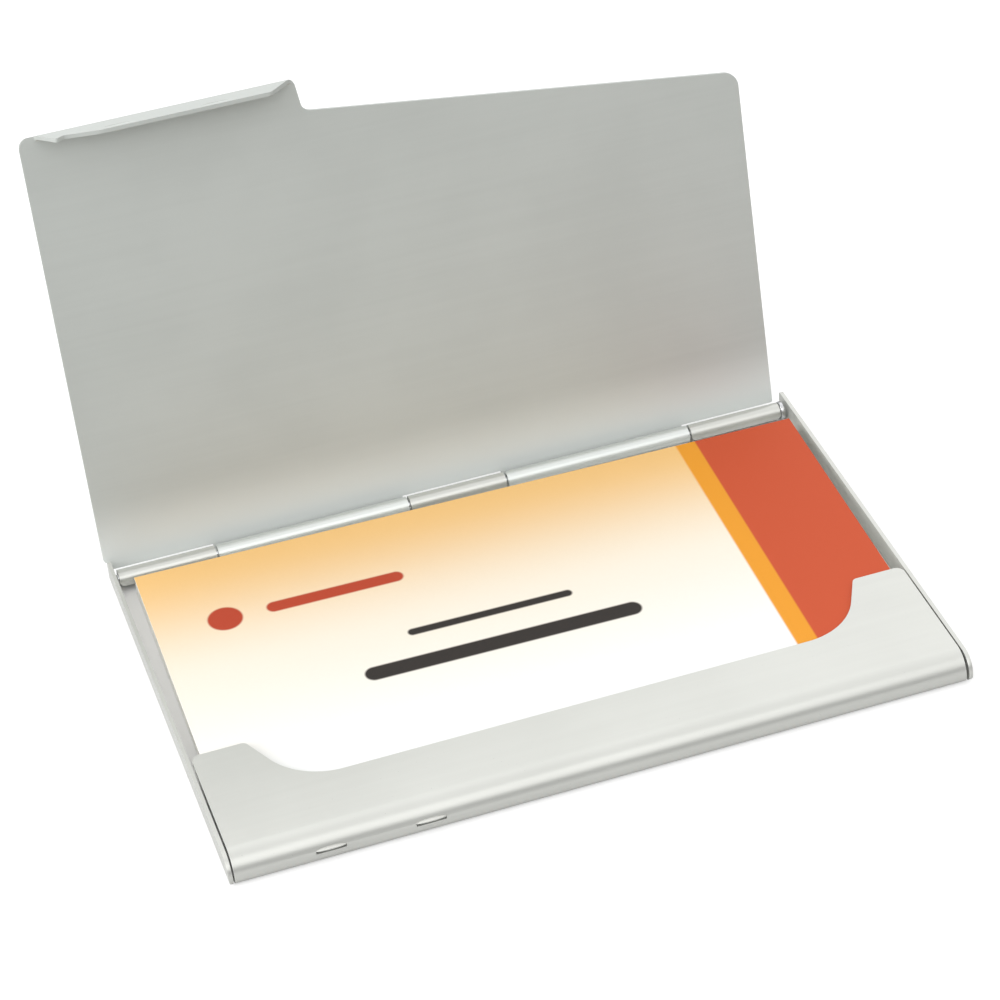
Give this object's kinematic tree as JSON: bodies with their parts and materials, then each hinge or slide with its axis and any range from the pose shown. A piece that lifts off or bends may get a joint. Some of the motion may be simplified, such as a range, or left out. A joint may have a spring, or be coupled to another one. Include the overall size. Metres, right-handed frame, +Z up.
{
  "type": "business card case",
  "caption": "Slim folded aluminium business card case with a pocket tray, a hinged snap lid and a stack of cards.",
  "frame": {"origin": "centre of the base's flat underside, in the plane the case stands on", "axes": "+X along the hinge to the right seen from the front, +Y from the front edge to the hinge, +Z up through the cards"},
  "size_m": [0.0943, 0.0744, 0.0604],
  "materials": {
    "base_aluminium": "fine satin, clear anodised",
    "lid_aluminium": "fine satin, clear anodised",
    "pin_steel": "bright drawn wire",
    "card_stock": "matt uncoated board",
    "card_print": "satin coated board with a printed gradient"
  },
  "bodies": {
    "base": {"case_base": "base_aluminium", "hinge_pin": "pin_steel"},
    "lid": {"case_lid": "lid_aluminium"},
    "cards": {"card_1": "card_stock", "card_2": "card_stock", "card_3": "card_stock", "card_4": "card_stock", "card_5": "card_stock", "card_6": "card_stock", "card_7": "card_print"}
  },
  "joints": [
    {"name": "lid_hinge", "type": "hinge", "parent": "base", "child": "lid", "pos_m": [0, 0.0285, 0.00198], "axis": [1, 0, 0], "range_deg": [0, 103.5]},
    {"name": "card_slide", "type": "slide", "parent": "base", "child": "cards", "axis": [0, 1, 0], "range_m": [-0.0022, 0.0005]}
  ]
}
